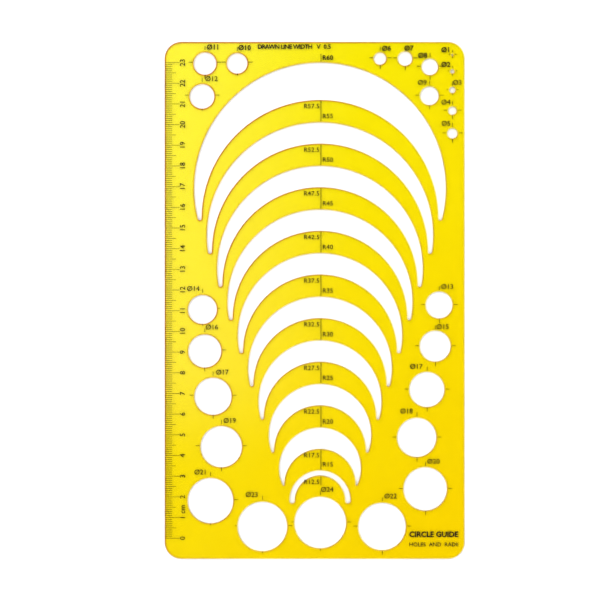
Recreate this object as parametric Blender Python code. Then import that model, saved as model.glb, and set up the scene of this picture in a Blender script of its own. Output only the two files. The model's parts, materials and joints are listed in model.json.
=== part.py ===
"""Circle and radius template: one flat sheet of clear yellow plastic, cut through by a
set of round holes and a nest of crescents, with a straight scale edge on its left.

The sheet lies on the XY plane with its printed face up. X runs across it, Y runs along
it from the plain end to the end with the smallest holes, and the origin is under its
middle. All lengths are in metres.
"""
import math

import bmesh
import bpy

MM = 0.001

# The sheet
WIDTH = 145 * MM
LENGTH = 250 * MM
THICKNESS = 1.2 * MM
CORNER_RADIUS = 8 * MM
EDGE_BREAK = 0.15 * MM          # the handled outer edge is eased, the guide edges stay square

# The five smallest holes, diameters 1 to 5, stand in a column and spread out as they grow
COLUMN_COUNT = 5
COLUMN_X = 66.6 * MM
COLUMN_TOP = 118.8 * MM
COLUMN_FIRST_STEP = 8 * MM      # from the first hole to the second
COLUMN_STEP_GROWTH = 1 * MM     # and this much more for each hole after it

# The other holes: diameter and centre, in millimetres
HOLES_MM = {
    6: (31.6, 117.0), 7: (43.7, 117.0), 8: (55.7, 113.0), 9: (55.5, 99.0),
    10: (-37.5, 114.7), 11: (-53.1, 114.6), 12: (-54.5, 98.7),
    13: (60.2, -2.2), 15: (58.3, -22.1), 17: (54.3, -43.1), 19: (49.4, -66.3), 21: (53.5, -91.2),
    14: (-54.3, -4.4), 16: (-53.2, -24.5), 18: (-49.2, -46.4), 20: (-45.2, -70.8), 22: (-50.4, -96.9),
    23: (32.6, -109.4), 24: (-25.3, -109.4), 25: (2.7, -107.5),
}

# The crescents. Each is named for its two arcs: a concave outer one, which is a whole number
# of steps, and a convex inner one half a step smaller, whose centre lies lower down.
CRESCENT_X = 2.6 * MM
RADIUS_LARGEST = 60 * MM
RADIUS_STEP = 5 * MM
CRESCENT_COUNT = 10
INNER_DROP = 2.5 * MM           # inner radius under outer radius
INNER_CENTRE_TOP = 39.7 * MM    # centre of the largest inner arc
CENTRE_PITCH = 16.1 * MM        # from one inner centre down to the next
CENTRE_SHIFT = 7.8 * MM         # outer centre above inner centre
ARC_ALLOWANCE = 0.25 * MM       # half a pencil line, which each arc is cut under its name
WIDE_RADIUS = 60.9 * MM         # the top crescent is opened out, so it is taller and wider
WIDE_SHIFT = 14.5 * MM
RING_CENTRE = -97.0 * MM        # the last one is a half ring with both arcs on one centre

CHORD_ERROR = 0.02 * MM         # how far a flat facet may stray from its true arc
SMALLEST_ROUND = 24             # sides on the smallest hole
CORNER_SIDES = 12               # sides on each corner of the sheet
HORN_SIDES = 6                  # fewest sides on a crescent's round end


def arc(centre, radius, start, end, fewest=2):
    """Points of an arc from one angle to another, both ends included."""
    step = 2 * math.acos(1 - CHORD_ERROR / radius)
    sides = max(fewest, math.ceil(abs(end - start) / step))
    angles = [start + (end - start) * i / sides for i in range(sides + 1)]
    return [(centre[0] + radius * math.cos(a), centre[1] + radius * math.sin(a)) for a in angles]


def circle(centre, diameter):
    """A closed round outline, counter-clockwise."""
    return arc(centre, diameter / 2, 0, 2 * math.pi, SMALLEST_ROUND)[:-1]


def rounded_rectangle(width, length, radius):
    """The sheet's outline, counter-clockwise, with one quarter arc at each corner."""
    outline = []
    corners = [(1, 1), (-1, 1), (-1, -1), (1, -1)]
    for quarter, (side_x, side_y) in enumerate(corners):
        centre = (side_x * (width / 2 - radius), side_y * (length / 2 - radius))
        turn = quarter * math.pi / 2
        outline += arc(centre, radius, turn, turn + math.pi / 2, CORNER_SIDES)
    return outline


def crescent(outer_centre, outer_radius, inner_centre, inner_radius):
    """A crescent with its horns pointing down, each closed by a round end.

    The round end touches the inner arc level with its centre and meets the outer arc from
    inside without a corner. Those two conditions give its radius.
    """
    shift = outer_centre - inner_centre
    horn = (outer_radius ** 2 - inner_radius ** 2 - shift ** 2) / (2 * (outer_radius + inner_radius))
    horn_x = inner_radius + horn
    lean = math.atan2(-shift, horn_x)           # where the outer arc hands over to the round end
    right = (CRESCENT_X + horn_x, inner_centre)
    left = (CRESCENT_X - horn_x, inner_centre)
    outline = arc((CRESCENT_X, outer_centre), outer_radius, lean, math.pi - lean)
    outline += arc(left, horn, math.pi - lean, 2 * math.pi, HORN_SIDES)[1:]
    outline += arc((CRESCENT_X, inner_centre), inner_radius, math.pi, 0)[1:]
    outline += arc(right, horn, math.pi, 2 * math.pi + lean, HORN_SIDES)[1:-1]
    return outline


def openings():
    """Every hole's outline: the column, the other round holes and the crescents."""
    outlines = []
    height = COLUMN_TOP
    for index in range(COLUMN_COUNT):
        outlines.append(circle((COLUMN_X, height), (index + 1) * MM))
        height -= COLUMN_FIRST_STEP + index * COLUMN_STEP_GROWTH
    for diameter, (x, y) in HOLES_MM.items():
        outlines.append(circle((x * MM, y * MM), diameter * MM))

    for index in range(CRESCENT_COUNT):
        name_radius = RADIUS_LARGEST - index * RADIUS_STEP
        outer = name_radius - ARC_ALLOWANCE
        inner = name_radius - INNER_DROP - ARC_ALLOWANCE
        inner_centre = INNER_CENTRE_TOP - index * CENTRE_PITCH
        shift = CENTRE_SHIFT
        if index == 0:
            outer, shift = WIDE_RADIUS, WIDE_SHIFT
        elif index == CRESCENT_COUNT - 1:
            inner_centre, shift = RING_CENTRE, 0
        outlines.append(crescent(inner_centre + shift, outer, inner_centre, inner))
    return outlines


def ring(bm, outline, height):
    """One closed loop of edges at a height."""
    verts = [bm.verts.new((x, y, height)) for x, y in outline]
    edges = [bm.edges.new((a, b)) for a, b in zip(verts, verts[1:] + verts[:1])]
    return verts, edges


def wall(bm, rings):
    """Quads between each ring and the next one up."""
    for (lower, _), (upper, _) in zip(rings, rings[1:]):
        for i in range(len(lower)):
            bm.faces.new((lower[i - 1], lower[i], upper[i], upper[i - 1]))


def build_sheet():
    """Raises every outline into a wall, then fills the two faces between them."""
    bm = bmesh.new()
    full = rounded_rectangle(WIDTH, LENGTH, CORNER_RADIUS)
    eased = rounded_rectangle(WIDTH - 2 * EDGE_BREAK, LENGTH - 2 * EDGE_BREAK, CORNER_RADIUS - EDGE_BREAK)
    rim = [
        ring(bm, eased, 0),
        ring(bm, full, EDGE_BREAK),
        ring(bm, full, THICKNESS - EDGE_BREAK),
        ring(bm, eased, THICKNESS),
    ]
    wall(bm, rim)
    bottom, top = list(rim[0][1]), list(rim[-1][1])
    for outline in openings():
        pair = [ring(bm, outline, 0), ring(bm, outline, THICKNESS)]
        wall(bm, pair)
        bottom += pair[0][1]
        top += pair[1][1]
    for edges in (bottom, top):
        bmesh.ops.triangle_fill(bm, use_beauty=True, use_dissolve=False, edges=edges)
    bmesh.ops.recalc_face_normals(bm, faces=bm.faces)

    mesh = bpy.data.meshes.new("template_sheet")
    bm.to_mesh(mesh)
    bm.free()
    mesh.shade_smooth()
    mesh.set_sharp_from_angle(angle=math.radians(35))
    return mesh


def clear_yellow_plastic():
    """Transparent yellow sheet with a glossy moulded face."""
    material = bpy.data.materials.new("clear_yellow_plastic")
    material.use_nodes = True
    shader = material.node_tree.nodes["Principled BSDF"]
    shader.inputs["Base Color"].default_value = (1.0, 0.78, 0.01, 1.0)
    shader.inputs["Metallic"].default_value = 0.0
    shader.inputs["Roughness"].default_value = 0.12
    shader.inputs["IOR"].default_value = 1.57
    shader.inputs["Transmission Weight"].default_value = 0.85
    return material


for old in list(bpy.data.objects):
    bpy.data.objects.remove(old)

sheet = bpy.data.objects.new("template_sheet", build_sheet())
sheet.data.materials.append(clear_yellow_plastic())
bpy.context.scene.collection.objects.link(sheet)
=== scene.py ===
"""Looks of the circle template: a thin sheet of clear yellow plastic with black printing on it,
lying on white paper under soft light. The sheet's size and the centres of its round holes come
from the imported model; everything is in metres in the model's own frame.
"""
import json
import math

import bmesh
import bpy
from mathutils import Matrix, Vector


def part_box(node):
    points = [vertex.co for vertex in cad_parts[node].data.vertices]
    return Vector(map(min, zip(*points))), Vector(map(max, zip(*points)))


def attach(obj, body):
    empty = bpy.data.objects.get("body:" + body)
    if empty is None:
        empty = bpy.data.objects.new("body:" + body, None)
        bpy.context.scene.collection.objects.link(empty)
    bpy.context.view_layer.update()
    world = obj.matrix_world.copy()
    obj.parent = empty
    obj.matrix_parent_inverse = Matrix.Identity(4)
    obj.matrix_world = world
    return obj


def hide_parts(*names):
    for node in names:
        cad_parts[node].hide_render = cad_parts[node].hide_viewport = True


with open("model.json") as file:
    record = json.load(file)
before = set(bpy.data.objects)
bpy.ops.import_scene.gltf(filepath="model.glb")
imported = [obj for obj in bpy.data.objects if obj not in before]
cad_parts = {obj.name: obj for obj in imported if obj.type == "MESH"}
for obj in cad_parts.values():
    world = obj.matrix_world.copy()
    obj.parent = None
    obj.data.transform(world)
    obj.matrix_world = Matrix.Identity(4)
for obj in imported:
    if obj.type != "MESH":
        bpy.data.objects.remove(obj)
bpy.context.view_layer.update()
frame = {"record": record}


# --- Template sheet ---------------------------------------------------------------------------
# One injection-moulded sheet of clear yellow polystyrene. The openings go square through it, and
# every edge is slightly rounded, so that it is easy to hold and a pencil slides along it.

mm = 0.001
ink_stands = 0.02 * mm                  # how far the printed film stands above the sheet
chord_error = 0.006 * mm                # how far a facet strays from its true arc
fewest_sides = 10                       # on a quarter-turn or less
sheet_low, sheet_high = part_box("template_sheet")
sheet_top = sheet_high.z - ink_stands
corner_radius = 8 * mm
edge_round = 0.2 * mm
edge_flat = 0.4 * mm                    # strip of flat face that goes with each rounded edge

# the column of the five smallest holes, which spreads out as they grow
column_x = 66.6 * mm
column_count = 5
column_top = 118.8 * mm
column_first_step = 8 * mm
column_step_growth = 1 * mm

# the crescents: radii in steps, each inner arc's centre below its outer arc's
crescent_x = 2.6 * mm
crescent_count = 10
radius_largest = 60 * mm
radius_step = 5 * mm
inner_drop = 2.5 * mm
inner_centre_top = 39.7 * mm
centre_pitch = 16.1 * mm
centre_shift = 7.8 * mm
arc_allowance = 0.25 * mm
wide_radius = 60.9 * mm                 # the top crescent is opened out
wide_shift = 14.5 * mm
ring_centre = -97.0 * mm                # the last one is a half ring

# the yellow, with painted light: lighter at the upper left where the tent is brightest, deeper at the lower
# right
lit_dye_colour = "#F1EC3C"
shaded_dye_colour = "#F1DF2A"
# amber of the edges, which also carries painted shade where they face the upper left
edge_amber_and_shade = "#D6941A"
face_sheen = "#FFFFFF"
amber_sheen = "#EEA23C"
inner_colour = "#FFD870"                # what the plastic's depth adds to the dye
inner_density = 14.0                    # per metre


def linear(colour):
    """An sRGB hex colour as the linear RGBA that the shaders take."""
    shares = [int(colour[i:i + 2], 16) / 255 for i in (1, 3, 5)]
    return [s / 12.92 if s <= 0.04045 else ((s + 0.055) / 1.055) ** 2.4 for s in shares] + [1.0]


def add(tree, kind, inputs=None, **settings):
    """Adds a node. inputs gives sockets a value, or a link from another node's output."""
    node = tree.nodes.new(kind)
    for name, value in settings.items():
        setattr(node, name, value)
    for key, value in (inputs or {}).items():
        if isinstance(value, bpy.types.NodeSocket):
            tree.links.new(value, node.inputs[key])
        else:
            node.inputs[key].default_value = value
    return node


def arc(centre, radius, start, end):
    """Points along an arc, both ends included."""
    step = 2 * math.acos(1 - chord_error / radius)
    sides = max(fewest_sides, math.ceil(abs(end - start) / step))
    angles = [start + (end - start) * i / sides for i in range(sides + 1)]
    return [(centre[0] + radius * math.cos(a), centre[1] + radius * math.sin(a)) for a in angles]


def round_hole(centre, diameter):
    """A round hole's outline in two half turns, counter-clockwise, so the sheet is on its right."""
    half = arc(centre, diameter / 2, 0, math.pi)[:-1]
    return half + arc(centre, diameter / 2, math.pi, 2 * math.pi)[:-1]


def sheet_rim(low, high, radius):
    """The outer outline, clockwise, with a quarter arc at each corner."""
    outline = []
    for quarter, (x, y) in enumerate([(high.x, high.y), (low.x, high.y), (low.x, low.y), (high.x, low.y)]):
        centre = (x - math.copysign(radius, x), y - math.copysign(radius, y))
        outline += arc(centre, radius, quarter * math.pi / 2, (quarter + 1) * math.pi / 2)
    return outline[::-1]


def crescent_arcs(index):
    """Outer centre height, outer radius, inner centre height and inner radius of a crescent."""
    name_radius = radius_largest - index * radius_step
    outer = name_radius - arc_allowance
    inner = name_radius - inner_drop - arc_allowance
    inner_centre = inner_centre_top - index * centre_pitch
    shift = centre_shift
    if index == 0:
        outer, shift = wide_radius, wide_shift
    elif index == crescent_count - 1:
        inner_centre, shift = ring_centre, 0
    return inner_centre + shift, outer, inner_centre, inner


def crescent(outer_centre, outer, inner_centre, inner):
    """A crescent's outline, counter-clockwise. Round ends close its horns: each touches the inner
    arc level with its centre and meets the outer arc from inside, which gives its radius."""
    shift = outer_centre - inner_centre
    horn = (outer ** 2 - inner ** 2 - shift ** 2) / (2 * (outer + inner))
    lean = math.atan2(-shift, inner + horn)
    left, right = crescent_x - inner - horn, crescent_x + inner + horn
    outline = arc((crescent_x, outer_centre), outer, lean, math.pi - lean)[:-1]
    outline += arc((left, inner_centre), horn, math.pi - lean, 2 * math.pi)[:-1]
    outline += arc((crescent_x, inner_centre), inner, math.pi, 0)[:-1]
    outline += arc((right, inner_centre), horn, math.pi, 2 * math.pi + lean)[:-1]
    return outline


# round holes by diameter in millimetres: each stated opening round_D_mm is centred on its hole
hole_centres = {}
for opening in frame["record"]["physics"]["openings"]:
    words = opening["name"].split("_")
    if words[0] == "round" and words[-1] == "mm":
        low, high = opening["box_m"]
        hole_centres[int(words[1])] = ((low[0] + high[0]) / 2, (low[1] + high[1]) / 2)
column_y = column_top
for index in range(column_count):
    hole_centres[index + 1] = (column_x, column_y)
    column_y -= column_first_step + index * column_step_growth

outline_curve = bpy.data.curves.new("sheet_outline", "CURVE")
outline_curve.dimensions = "3D"
outlines = [sheet_rim(sheet_low, sheet_high, corner_radius)]
outlines += [round_hole(centre, diameter * mm) for diameter, centre in sorted(hole_centres.items())]
outlines += [crescent(*crescent_arcs(index)) for index in range(crescent_count)]
for outline in outlines:
    spline = outline_curve.splines.new("POLY")
    spline.points.add(len(outline) - 1)
    spline.points.foreach_set("co", [n for x, y in outline for n in (x, y, 0, 1)])
    spline.use_cyclic_u = True


def cut_sheet_tree():
    """Node tree that raises flat outlines into a sheet: a bracket-shaped profile with rounded
    corners runs round each outline, and a filled face closes the sheet above and below."""
    tree = bpy.data.node_groups.new("Cut sheet", "GeometryNodeTree")
    tree.is_modifier = True
    tree.interface.new_socket("Outline", in_out="INPUT", socket_type="NodeSocketGeometry")
    for name in ("Thickness", "Edge Round", "Edge Flat"):
        tree.interface.new_socket(name, in_out="INPUT", socket_type="NodeSocketFloat")
    tree.interface.new_socket("Material", in_out="INPUT", socket_type="NodeSocketMaterial")
    tree.interface.new_socket("Sheet", in_out="OUTPUT", socket_type="NodeSocketGeometry")
    given = add(tree, "NodeGroupInput").outputs

    # the profile: a bracket that is open towards the sheet, with both corners rounded
    reach = add(tree, "ShaderNodeMath", {0: given["Edge Round"], 1: given["Edge Flat"]}, operation="ADD")
    half_reach = add(tree, "ShaderNodeMath", {0: reach.outputs[0], 1: 0.5}, operation="MULTIPLY")
    aside = add(tree, "ShaderNodeCombineXYZ", {"X": half_reach.outputs[0]})
    bracket = add(tree, "GeometryNodeCurvePrimitiveQuadrilateral",
                  {"Width": reach.outputs[0], "Height": given["Thickness"]})
    opened = add(tree, "GeometryNodeSetSplineCyclic", {"Geometry": bracket.outputs[0], "Cyclic": False})
    rounded = add(tree, "GeometryNodeFilletCurve",
                  {"Curve": opened.outputs[0], "Radius": given["Edge Round"]}, mode="POLY")
    rounded.inputs["Count"].default_value = 4
    profile = add(tree, "GeometryNodeTransform",
                  {"Geometry": rounded.outputs[0], "Translation": aside.outputs[0]})

    # the walls, with an attribute that is 1 on wall and rounding and fades out over the flat strip
    tips = add(tree, "GeometryNodeCurveEndpointSelection", {"Start Size": 1, "End Size": 1})
    inside = add(tree, "ShaderNodeMath", {0: 1.0, 1: tips.outputs[0]}, operation="SUBTRACT")
    marked = add(tree, "GeometryNodeStoreNamedAttribute", {
        "Geometry": profile.outputs[0], "Name": "cut_wall", "Value": inside.outputs[0]})
    level = add(tree, "GeometryNodeSetCurveNormal", {"Curve": given["Outline"]}, mode="Z_UP")
    inward = add(tree, "GeometryNodeInputNormal")
    sided = add(tree, "GeometryNodeStoreNamedAttribute", {
        "Geometry": level.outputs[0], "Name": "inward", "Value": inward.outputs[0]}, data_type="FLOAT_VECTOR")
    wall = add(tree, "GeometryNodeCurveToMesh",
               {"Curve": sided.outputs[0], "Profile Curve": marked.outputs[0]})
    place = add(tree, "GeometryNodeInputPosition")
    height = add(tree, "ShaderNodeSeparateXYZ", {0: place.outputs[0]})
    half = add(tree, "ShaderNodeMath", {0: given["Thickness"], 1: 0.5}, operation="MULTIPLY")

    # the faces: the walls' open upper edges, filled flat and copied below
    neighbours = add(tree, "GeometryNodeInputMeshEdgeNeighbors")
    is_open = add(tree, "FunctionNodeCompare", data_type="INT", operation="EQUAL")
    tree.links.new(neighbours.outputs[0], is_open.inputs["A"])
    is_open.inputs["B"].default_value = 1
    is_upper = add(tree, "ShaderNodeMath", {0: height.outputs["Z"], 1: 0.0}, operation="GREATER_THAN")
    is_open_upper = add(tree, "FunctionNodeBooleanMath",
                        {0: is_open.outputs[0], 1: is_upper.outputs[0]}, operation="AND")
    loops = add(tree, "GeometryNodeMeshToCurve",
                {"Mesh": wall.outputs[0], "Selection": is_open_upper.outputs[0]})
    face = add(tree, "GeometryNodeFillCurve", {"Curve": loops.outputs[0]}, mode="TRIANGLES")
    up = add(tree, "ShaderNodeCombineXYZ", {"Z": half.outputs[0]})
    upper = add(tree, "GeometryNodeTransform", {"Geometry": face.outputs[0], "Translation": up.outputs[0]})
    turned = add(tree, "GeometryNodeFlipFaces", {"Mesh": face.outputs[0]})
    down = add(tree, "ShaderNodeVectorMath", {0: up.outputs[0], "Scale": -1.0}, operation="SCALE")
    lower = add(tree, "GeometryNodeTransform",
                {"Geometry": turned.outputs[0], "Translation": down.outputs[0]})

    joined = add(tree, "GeometryNodeJoinGeometry")
    for part in (wall, upper, lower):
        tree.links.new(part.outputs[0], joined.inputs[0])
    closed = add(tree, "GeometryNodeMergeByDistance", {"Geometry": joined.outputs[0], "Distance": 0.001 * mm})
    lifted = add(tree, "GeometryNodeTransform", {"Geometry": closed.outputs[0], "Translation": up.outputs[0]})
    smooth = add(tree, "GeometryNodeSetShadeSmooth", {"Geometry": lifted.outputs[0], "Shade Smooth": True})
    real = add(tree, "GeometryNodeRealizeInstances", {"Geometry": smooth.outputs[0]})
    finish = add(tree, "GeometryNodeSetMaterial",
                 {"Geometry": real.outputs[0], "Material": given["Material"]})
    add(tree, "NodeGroupOutput", {"Sheet": finish.outputs[0]})
    return tree


def plain_piece(name, source, tree, sizes):
    """Runs a node tree on source data with the given inputs, and returns the result as an object
    that holds a plain mesh."""
    maker = bpy.data.objects.new(name + "_maker", source)
    bpy.context.scene.collection.objects.link(maker)
    modifier = maker.modifiers.new("Build", "NODES")
    modifier.node_group = tree
    for item in tree.interface.items_tree:
        if item.name in sizes:
            modifier[item.identifier] = sizes[item.name]
    depsgraph = bpy.context.evaluated_depsgraph_get()
    mesh = bpy.data.meshes.new_from_object(maker.evaluated_get(depsgraph))
    mesh.name = name
    bpy.data.objects.remove(maker)
    piece = bpy.data.objects.new(name, mesh)
    bpy.context.scene.collection.objects.link(piece)
    return piece


def moulded_yellow_polystyrene():
    """Clear polystyrene, moulded against polished steel: glossy and water-clear with a strong
    yellow dye. The eye sees a flat bright yellow, painted a little lighter towards the upper left
    where the light is strongest, faint flow waves and fine scratches in the gloss, and amber
    wherever it looks along the sheet instead of through it, deepened by painted shade on edges
    that face the upper left."""
    material = bpy.data.materials.new("moulded_yellow_polystyrene")
    material.use_nodes = True
    tree = material.node_tree
    shader = tree.nodes["Principled BSDF"]
    shader.inputs["IOR"].default_value = 1.58
    shader.inputs["Transmission Weight"].default_value = 1.0

    place = add(tree, "ShaderNodeTexCoord").outputs["Object"]
    mark = add(tree, "ShaderNodeAttribute", attribute_name="cut_wall").outputs["Fac"]
    wall = add(tree, "ShaderNodeMapRange", {"Value": mark, "From Max": 0.5}).outputs[0]

    # painted light: the dye is lighter towards the upper left, where the tent is brightest, and deeper
    # towards the foot and the right; it is also uneven by streaks about 30 mm apart
    spot = add(tree, "ShaderNodeSeparateXYZ", {0: place}).outputs
    along = add(tree, "ShaderNodeMath", {0: spot["X"], 1: -0.8, 2: spot["Y"]}, operation="MULTIPLY_ADD")
    flow = add(tree, "ShaderNodeTexNoise", {"Vector": place, "Scale": 1 / (30 * mm), "Detail": 3.0})
    streaks_and_light = add(tree, "ShaderNodeMath", {0: flow.outputs["Fac"], 1: 60 * mm, 2: along.outputs[0]},
                 operation="MULTIPLY_ADD")
    share = add(tree, "ShaderNodeMapRange", {
        "Value": streaks_and_light.outputs[0], "From Min": -130 * mm, "From Max": 190 * mm})
    dye = add(tree, "ShaderNodeValToRGB", {"Fac": share.outputs[0]})
    dye.color_ramp.elements[0].color = linear(shaded_dye_colour)
    dye.color_ramp.elements[1].color = linear(lit_dye_colour)

    # amber edges: the deep colour of looking along the dyed sheet, with painted shade that makes it deepest
    # where the edges face the upper left, and on that side of the sheet
    inward = add(tree, "ShaderNodeAttribute", attribute_name="inward").outputs["Vector"]
    facing = add(tree, "ShaderNodeVectorMath", {0: inward, 1: (0.8, -0.6, 0.0)}, operation="DOT_PRODUCT")
    across = add(tree, "ShaderNodeVectorMath", {0: place, 1: (-1.0, 0.4, 0.0)}, operation="DOT_PRODUCT")
    side = add(tree, "ShaderNodeMapRange", {
        "Value": across.outputs["Value"], "From Min": -30 * mm, "From Max": 110 * mm,
        "To Min": 0.15, "To Max": 1.0})
    painted_edge_shade = add(tree, "ShaderNodeMath", {0: facing.outputs["Value"], 1: 0.4, 2: side.outputs[0]},
                     operation="MULTIPLY_ADD", use_clamp=True)
    amber = add(tree, "ShaderNodeMath", {0: wall, 1: painted_edge_shade.outputs[0]}, operation="MULTIPLY")
    colour = add(tree, "ShaderNodeMix",
                 {0: amber.outputs[0], 6: dye.outputs["Color"], 7: linear(edge_amber_and_shade)}, data_type="RGBA")
    tree.links.new(colour.outputs[2], shader.inputs["Base Color"])
    sheen = add(tree, "ShaderNodeMix",
                {0: amber.outputs[0], 6: linear(face_sheen), 7: linear(amber_sheen)}, data_type="RGBA")
    tree.links.new(sheen.outputs[2], shader.inputs["Specular Tint"])

    # hairline scratches from paper and pencils, in two directions: noise stretched along a line,
    # and drawn wider than the real ones so that it can show
    scratch_length = 9 * mm
    scratch_width = 0.15 * mm
    scratches = []
    for turn in (math.radians(24), math.radians(-52)):
        stretched = add(tree, "ShaderNodeMapping", {
            "Vector": place, "Rotation": (0, 0, turn),
            "Scale": (1 / scratch_length, 1 / scratch_width, 1 / scratch_length)})
        grain = add(tree, "ShaderNodeTexNoise", {"Vector": stretched.outputs[0], "Scale": 1.0, "Detail": 1.0})
        scratch = add(tree, "ShaderNodeMapRange", {
            "Value": grain.outputs["Fac"], "From Min": 0.66, "From Max": 0.78})
        scratches.append(scratch.outputs[0])
    worn = add(tree, "ShaderNodeMath", {0: scratches[0], 1: scratches[1]}, operation="MAXIMUM")
    gloss = add(tree, "ShaderNodeMapRange", {
        "Value": flow.outputs["Fac"], "From Min": 0.3, "From Max": 0.7, "To Min": 0.05, "To Max": 0.1})
    dulled = add(tree, "ShaderNodeMath", {0: worn.outputs[0], 1: 0.15, 2: gloss.outputs[0]},
                 operation="MULTIPLY_ADD")
    rough_wall = add(tree, "ShaderNodeMath", {0: wall, 1: 0.3, 2: dulled.outputs[0]},
                     operation="MULTIPLY_ADD")
    tree.links.new(rough_wall.outputs[0], shader.inputs["Roughness"])

    # the moulded face is not quite flat: waves a few micrometres high, and the scratches' grooves
    waves = add(tree, "ShaderNodeTexNoise", {"Vector": place, "Scale": 1 / (12 * mm), "Detail": 2.0})
    wavy = add(tree, "ShaderNodeBump", {
        "Height": waves.outputs["Fac"], "Strength": 0.3, "Distance": 0.03 * mm})
    grooved = add(tree, "ShaderNodeBump", {
        "Height": worn.outputs[0], "Normal": wavy.outputs[0], "Strength": 0.2, "Distance": 0.01 * mm},
        invert=True)
    tree.links.new(grooved.outputs[0], shader.inputs["Normal"])

    depth = add(tree, "ShaderNodeVolumeAbsorption", {
        "Color": linear(inner_colour), "Density": inner_density})
    tree.links.new(depth.outputs[0], tree.nodes["Material Output"].inputs["Volume"])
    return material


sheet = plain_piece("sheet", outline_curve, cut_sheet_tree(), {
    "Thickness": sheet_top - sheet_low.z, "Edge Round": edge_round, "Edge Flat": edge_flat,
    "Material": moulded_yellow_polystyrene()})
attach(sheet, "root")
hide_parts("template_sheet")


# --- Scale graduations ------------------------------------------------------------------------
# The millimetre scale up the left edge, 0 to 23 centimetres, screen printed in matt black ink. All
# the print is laid on the upper face in the same pass, as a film a few hundredths of a millimetre
# thick.

film_sinks = 0.01 * mm                  # how far the film reaches into the sheet
film_low = sheet_top - film_sinks
film_high = sheet_high.z
line_width = 0.22 * mm
ink_dark = "#0C0806"
ink_light = "#1E150E"


def screen_printed_ink():
    """Screen-printing ink, laid through a mesh and dried: black with a warm tinge, matt, and
    finely grained where the mesh left its pattern. The grain is drawn at 0.25 mm, coarser than
    the real mesh, so that it can show."""
    material = bpy.data.materials.new("screen_printed_ink")
    material.use_nodes = True
    tree = material.node_tree
    shader = tree.nodes["Principled BSDF"]
    shader.inputs["Specular IOR Level"].default_value = 0.1
    grain_size = 0.25 * mm
    place = add(tree, "ShaderNodeTexCoord").outputs["Object"]
    cover = add(tree, "ShaderNodeTexNoise", {"Vector": place, "Scale": 1 / (1.5 * mm), "Detail": 4.0})
    shade = add(tree, "ShaderNodeValToRGB", {"Fac": cover.outputs["Fac"]})
    shade.color_ramp.elements[0].position = 0.35
    shade.color_ramp.elements[0].color = linear(ink_dark)
    shade.color_ramp.elements[1].position = 0.7
    shade.color_ramp.elements[1].color = linear(ink_light)
    tree.links.new(shade.outputs["Color"], shader.inputs["Base Color"])
    mesh_grain = add(tree, "ShaderNodeTexVoronoi", {"Vector": place, "Scale": 1 / grain_size})
    matt = add(tree, "ShaderNodeMapRange", {
        "Value": mesh_grain.outputs["Distance"], "To Min": 0.7, "To Max": 0.9})
    tree.links.new(matt.outputs[0], shader.inputs["Roughness"])
    grained = add(tree, "ShaderNodeBump", {
        "Height": mesh_grain.outputs["Distance"], "Strength": 0.3, "Distance": 0.01 * mm})
    tree.links.new(grained.outputs[0], shader.inputs["Normal"])
    return material


ink = screen_printed_ink()


def bars_tree():
    """Node tree that prints a straight bar at each point of a mesh, from the point's attributes:
    reach is the bar's length, weight its width in line widths, and turn its direction."""
    tree = bpy.data.node_groups.new("Printed bars", "GeometryNodeTree")
    tree.is_modifier = True
    tree.interface.new_socket("Points", in_out="INPUT", socket_type="NodeSocketGeometry")
    for name in ("Line Width", "Film"):
        tree.interface.new_socket(name, in_out="INPUT", socket_type="NodeSocketFloat")
    tree.interface.new_socket("Material", in_out="INPUT", socket_type="NodeSocketMaterial")
    tree.interface.new_socket("Bars", in_out="OUTPUT", socket_type="NodeSocketGeometry")
    given = add(tree, "NodeGroupInput").outputs
    reach, weight, turn = [
        add(tree, "GeometryNodeInputNamedAttribute", {"Name": name}, data_type="FLOAT").outputs[0]
        for name in ("reach", "weight", "turn")]
    bar = add(tree, "GeometryNodeMeshCube", {"Size": (1.0, 1.0, 1.0)})
    width = add(tree, "ShaderNodeMath", {0: given["Line Width"], 1: weight}, operation="MULTIPLY")
    size = add(tree, "ShaderNodeCombineXYZ", {"X": reach, "Y": width.outputs[0], "Z": given["Film"]})
    heading = add(tree, "ShaderNodeCombineXYZ", {"Z": turn})
    rotation = add(tree, "FunctionNodeEulerToRotation", {0: heading.outputs[0]})
    placed = add(tree, "GeometryNodeInstanceOnPoints", {
        "Points": given["Points"], "Instance": bar.outputs["Mesh"], "Rotation": rotation.outputs[0],
        "Scale": size.outputs[0]})
    real = add(tree, "GeometryNodeRealizeInstances", {"Geometry": placed.outputs[0]})
    finish = add(tree, "GeometryNodeSetMaterial",
                 {"Geometry": real.outputs[0], "Material": given["Material"]})
    add(tree, "NodeGroupOutput", {"Bars": finish.outputs[0]})
    return tree


printed_bars = bars_tree()


def print_bars(name, bars):
    """An inked piece of straight bars. Each bar is (x, y, reach, turn, weight) from its middle."""
    points = bpy.data.meshes.new(name + "_points")
    points.from_pydata([(x, y, (film_low + film_high) / 2) for x, y, *_ in bars], [], [])
    for column, attribute in enumerate(("reach", "turn", "weight"), start=2):
        values = points.attributes.new(attribute, "FLOAT", "POINT")
        values.data.foreach_set("value", [bar[column] for bar in bars])
    piece = plain_piece(name, points, printed_bars, {
        "Line Width": line_width, "Film": film_high - film_low, "Material": ink})
    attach(piece, "root")
    return piece


# the zero line is as far from the plain end as the last line is from the other, and every fifth
# line is longer and every tenth longest
scale_divisions = 230
division = 1 * mm
scale_zero = (sheet_low.y + sheet_high.y - scale_divisions * division) / 2
scale_edge = sheet_low.x + 0.25 * mm    # the lines start just in from the rounded edge
millimetre_end = sheet_low.x + 3.6 * mm
half_end = sheet_low.x + 5.5 * mm
centimetre_end = sheet_low.x + 7.2 * mm
graduation_weight = 0.8                 # in line widths

graduations = []
for count in range(scale_divisions + 1):
    end = centimetre_end if count % 10 == 0 else half_end if count % 5 == 0 else millimetre_end
    graduations.append(((scale_edge + end) / 2, scale_zero + count * division,
                        end - scale_edge, 0.0, graduation_weight))
print_bars("scale_graduations", graduations)


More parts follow.
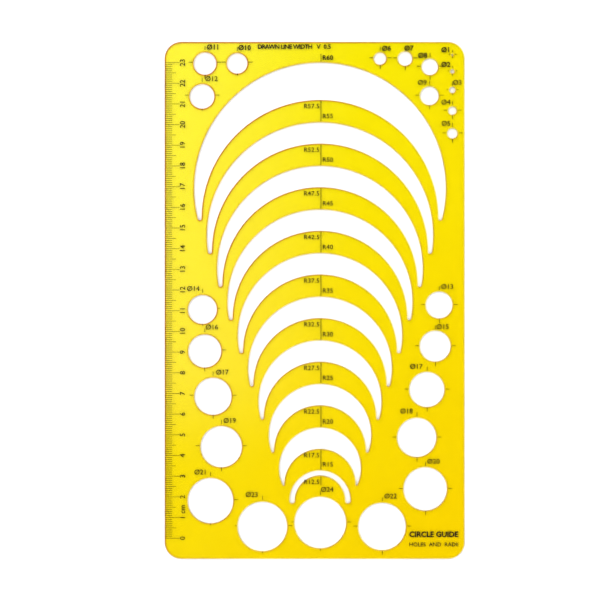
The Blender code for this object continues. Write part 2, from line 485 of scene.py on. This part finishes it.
# --- Centre marks -----------------------------------------------------------------------------
# Four short printed lines round each hole, on its centre lines, for setting the template to a
# drawn cross. The print sits a little off the holes, and lines with no room are short or left out.

print_right = 0.1 * mm                  # how far the print sits to the right of the holes
print_up = 0.4 * mm                     # and above them, in the middle of the sheet
print_lean = -0.0033                    # change of that height across the sheet
mark_start = 0.5 * mm                   # off the hole's edge
mark_reach = 1.9 * mm
short_reach = 0.9 * mm
mark_weight = 1.1
heavy_weight = 1.4                      # near the top edge, where the squeegee set off
heavy_above = 112 * mm
sides = {"right": (1, 0), "top": (0, 1), "left": (-1, 0), "bottom": (0, -1)}
marks_left_out = {14: ["left"], 16: ["left"], 22: ["left"]}
marks_cut_short = {1: list(sides), 2: list(sides), 3: ["left", "right", "bottom"], 10: ["bottom"],
                   12: ["bottom"], 14: ["right", "bottom"], 22: ["bottom"], 24: ["left", "bottom"],
                   25: ["left", "bottom"]}

marks = []
for diameter, (x, y) in sorted(hole_centres.items()):
    for side, (along_x, along_y) in sides.items():
        if side in marks_left_out.get(diameter, []):
            continue
        reach = short_reach if side in marks_cut_short.get(diameter, []) else mark_reach
        off = diameter * mm / 2 + mark_start + reach / 2
        weight = heavy_weight if y > heavy_above else mark_weight
        marks.append((x + print_right + off * along_x, y + print_up + print_lean * x + off * along_y,
                      reach, math.atan2(along_y, along_x), weight))
print_bars("centre_marks", marks)


# --- Centre line of the arcs ------------------------------------------------------------------
# One printed line down the middle of the ribs, broken by the crescents. It shows the axis on which
# the arcs' centres lie, and runs on a little above the first arc and below the last.

centre_line_x = 3.05 * mm
line_above = 4.5 * mm
line_below = 5.0 * mm
line_gap = 0.35 * mm                    # the line stops this far short of an opening
line_weight = 1.3
apexes = []
for index in range(crescent_count):
    outer_centre, outer, inner_centre, inner = crescent_arcs(index)
    apexes.append((outer_centre + outer, inner_centre + inner))
starts = [apexes[0][0] + line_above] + [inner_apex for _, inner_apex in apexes]
ends = [outer_apex for outer_apex, _ in apexes] + [apexes[-1][1] - line_below]
pieces_of_line = []
for start, end in zip(starts, ends):
    top = start - line_gap
    foot = end + line_gap
    pieces_of_line.append((centre_line_x, (top + foot) / 2, top - foot, math.pi / 2, line_weight))
print_bars("centre_line", pieces_of_line)


# --- Scale figures ----------------------------------------------------------------------------
# The centimetres, 0 to 23, printed beside their lines and read from the right-hand side, with
# the unit after the first of them. The face is plain and thin, and each figure is the film itself.

cap_share = 0.682                       # of the type's size that a capital takes
thin = 0.02 * mm                        # added all round each stroke
bold = 0.08 * mm


def letters(words, cap_height, x, y, turn=0.0, align="CENTER", weight=thin, spacing=1.0):
    """Raised letters as a mesh in place: x, y is the middle, left or right end at half cap height.
    The weight moves each stroke's edge outward, square to the edge."""
    text = bpy.data.curves.new("letters", "FONT")
    text.body = words
    text.size = cap_height / cap_share
    text.align_x = align
    text.space_character = spacing
    text.extrude = (film_high - film_low) / 2
    text.resolution_u = 3
    writer = bpy.data.objects.new("letters", text)
    bpy.context.scene.collection.objects.link(writer)
    depsgraph = bpy.context.evaluated_depsgraph_get()
    mesh = bpy.data.meshes.new_from_object(writer.evaluated_get(depsgraph))
    bpy.data.objects.remove(writer)

    bm = bmesh.new()
    bm.from_mesh(mesh)
    bmesh.ops.remove_doubles(bm, verts=bm.verts, dist=0.0005 * mm)
    bmesh.ops.recalc_face_normals(bm, faces=bm.faces)
    moves = []
    for vert in bm.verts:
        beside = [face.normal for face in vert.link_faces if abs(face.normal.z) < 0.5]
        outward = sum(beside, Vector()).normalized()
        moves.append(outward * weight / max(0.5, outward.dot(beside[0])))
    for vert, move in zip(bm.verts, moves):
        vert.co += move
    bm.to_mesh(mesh)
    bm.free()
    mesh.transform(Matrix.Translation((0, -cap_height / 2, 0)))
    mesh.transform(Matrix.Translation((x, y, (film_low + film_high) / 2)) @ Matrix.Rotation(turn, 4, "Z"))
    return mesh


def print_letters(name, meshes):
    """Joins lettering into one inked piece."""
    bm = bmesh.new()
    for mesh in meshes:
        bm.from_mesh(mesh)
        bpy.data.meshes.remove(mesh)
    mesh = bpy.data.meshes.new(name)
    bm.to_mesh(mesh)
    bm.free()
    mesh.materials.append(ink)
    piece = bpy.data.objects.new(name, mesh)
    bpy.context.scene.collection.objects.link(piece)
    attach(piece, "root")
    return piece


figure_height = 2.4 * mm
figure_x = sheet_low.x + 8.6 * mm
unit_above_one = 4.0 * mm
upright = math.pi / 2

figures = [letters(str(count // 10), figure_height, figure_x, scale_zero + count * division, upright)
           for count in range(0, scale_divisions + 1, 10)]
figures.append(letters("cm", figure_height, figure_x, scale_zero + 10 * division + unit_above_one, upright))
print_letters("scale_figures", figures)


# --- Hole labels ------------------------------------------------------------------------------
# Each hole's printed size stands above it, to the left or right of its top mark. The eight largest
# holes carry a number one less than they measure, because 17 is printed twice.

label_height = 2.3 * mm
label_places_mm = {                     # from the hole's centre to the label's middle
    1: (-3.2, 2.4), 2: (-3.2, 3.3), 3: (2.4, 3.6), 4: (-3.2, 4.1), 5: (-3.1, 4.8),
    6: (3.1, 4.9), 7: (1.8, 5.0), 8: (-3.5, 5.5), 9: (-3.5, 6.4), 10: (3.6, 7.5),
    11: (4.0, 7.9), 12: (4.6, 8.5), 13: (3.9, 8.9), 14: (-4.4, 10.1), 15: (3.6, 9.4),
    16: (3.5, 11.6), 17: (-5.2, 11.2), 18: (4.5, 11.7), 19: (-5.0, 12.8), 20: (4.1, 12.7),
    21: (3.9, 13.4), 22: (-4.8, 13.9), 23: (4.1, 14.8), 24: (-5.1, 15.5), 25: (3.3, 16.1),
}
last_true_label = 17

labels = []
for diameter, (right, up) in label_places_mm.items():
    number = diameter if diameter <= last_true_label else diameter - 1
    x, y = hole_centres[diameter][0] + right * mm, hole_centres[diameter][1] + up * mm
    labels.append(letters(f"\u00d8{number}", label_height, x, y, weight=bold if y > heavy_above else thin))
print_letters("hole_labels", labels)


# --- Radius labels ----------------------------------------------------------------------------
# Each rib carries the radius of its upper edge to the left of the centre line, and the radius of
# the arc below it to the right of the line.

radius_height = 2.1 * mm
beside_line = 0.7 * mm
below_inner = 3.0 * mm
above_outer = 3.0 * mm
above_first = 2.3 * mm
radius_spacing = 1.08                   # letter spacing, as a share of the face's own

radius_labels = []
for index, (outer_apex, inner_apex) in enumerate(apexes):
    name_radius = (radius_largest - index * radius_step) / mm
    up = above_first if index == 0 else above_outer
    radius_labels.append(letters(f"R{name_radius:g}", radius_height, centre_line_x + beside_line,
                                 outer_apex + up, align="LEFT", weight=bold if index == 0 else thin,
                                 spacing=radius_spacing))
    radius_labels.append(letters(f"R{name_radius - inner_drop / mm:g}", radius_height,
                                 centre_line_x - beside_line, inner_apex - below_inner,
                                 align="RIGHT", spacing=radius_spacing))
print_letters("radius_labels", radius_labels)


# --- Notes ------------------------------------------------------------------------------------
# A line on the width of a drawn line by the top edge, with a small pencil-point sign, and plain
# words on what the sheet is for in the lower right corner. All are printed with the scale.

note_y = 122.7 * mm
note_height = 2.0 * mm
note_left = -27.6 * mm
note_right = 7.9 * mm
sign_x = 1.9 * mm
title_x = 57.6 * mm
title_y = -113.1 * mm
title_height = 2.5 * mm
subtitle_y = -118.0 * mm
subtitle_height = 1.85 * mm

notes = [
    letters("DRAWN LINE WIDTH", note_height, note_left, note_y, align="LEFT", weight=bold, spacing=0.9),
    letters("V", note_height, sign_x, note_y, weight=bold),
    letters("0.5", note_height, note_right, note_y, align="RIGHT", weight=bold),
    letters("CIRCLE GUIDE", title_height, title_x, title_y, weight=1.4 * bold),
    letters("HOLES  AND  RADII", subtitle_height, title_x, subtitle_y),
]
print_letters("notes", notes)


# --- Paper, light and camera ------------------------------------------------------------------
# The sheet lies a paper's thickness above a plain white floor, in a light tent that is brightest
# in the upper left. Its roof is dark round the camera, so most of the sheet shows no reflection.

paper_gap = 0.1 * mm
paper_colour = "#F2F2F2"
half_floor = 3.0
floor_mesh = bpy.data.meshes.new("floor")
floor_mesh.from_pydata([(-half_floor, -half_floor, -paper_gap), (half_floor, -half_floor, -paper_gap),
                        (half_floor, half_floor, -paper_gap), (-half_floor, half_floor, -paper_gap)],
                       [], [(0, 1, 2, 3)])
floor = bpy.data.objects.new("floor", floor_mesh)
bpy.context.scene.collection.objects.link(floor)
paper = bpy.data.materials.new("white_paper")
paper.use_nodes = True
paper_shader = paper.node_tree.nodes["Principled BSDF"]
paper_shader.inputs["Base Color"].default_value = linear(paper_colour)
paper_shader.inputs["Roughness"].default_value = 0.9
paper_shader.inputs["Specular IOR Level"].default_value = 0.1
floor_mesh.materials.append(paper)

world = bpy.data.worlds.new("light_tent")
world.use_nodes = True
bpy.context.scene.world = world
tent = world.node_tree
background = tent.nodes["Background"]
direction = add(tent, "ShaderNodeTexCoord").outputs["Generated"]
parts = add(tent, "ShaderNodeSeparateXYZ", {0: direction})
rightward, upward, overhead = parts.outputs

# the tent wall is brightest in the upper left
lean = add(tent, "ShaderNodeMath", {0: rightward, 1: upward}, operation="SUBTRACT")
wall_light = add(tent, "ShaderNodeMapRange", {
    "Value": lean.outputs[0], "From Min": -1.2, "From Max": 1.2, "To Min": 2.45, "To Max": 1.3},
    interpolation_type="SMOOTHSTEP")

# round the camera the roof is dark, except for the end of a soft box that the left half reflects
box_across = add(tent, "ShaderNodeMapRange", {
    "Value": rightward, "From Min": -0.113, "From Max": 0.053, "To Min": 1.0, "To Max": 0.0},
    interpolation_type="SMOOTHSTEP")
box_along = add(tent, "ShaderNodeMapRange", {
    "Value": upward, "From Min": -0.133, "From Max": -0.04, "To Min": 0.04, "To Max": 0.85},
    interpolation_type="SMOOTHSTEP")
soft_box = add(tent, "ShaderNodeMath", {0: box_across.outputs[0], 1: box_along.outputs[0]},
               operation="MULTIPLY")
roof = add(tent, "ShaderNodeMapRange", {
    "Value": overhead, "From Min": 0.9, "From Max": 0.95, "To Min": 0.0, "To Max": 1.0},
    interpolation_type="SMOOTHSTEP")
strength = add(tent, "ShaderNodeMix", {0: roof.outputs[0], 2: wall_light.outputs[0], 3: soft_box.outputs[0]})
background.inputs["Color"].default_value = linear("#FFFFFF")
tent.links.new(strength.outputs[0], background.inputs["Strength"])

camera_data = bpy.data.cameras.new("camera")
camera_data.lens = 75
view_width = 290.1 * mm                 # what the frame takes in across the sheet
camera_x = -7.08 * mm
camera_y = 0.19 * mm
camera_height = view_width * camera_data.lens / camera_data.sensor_width
camera = bpy.data.objects.new("camera", camera_data)
camera.location = (camera_x, camera_y, sheet_high.z + camera_height)
bpy.context.scene.collection.objects.link(camera)
bpy.context.scene.camera = camera
bpy.context.scene.view_settings.view_transform = "Standard"
bpy.context.scene.cycles.blur_glossy = 0.0  # keeps the paper bright under the clear sheet
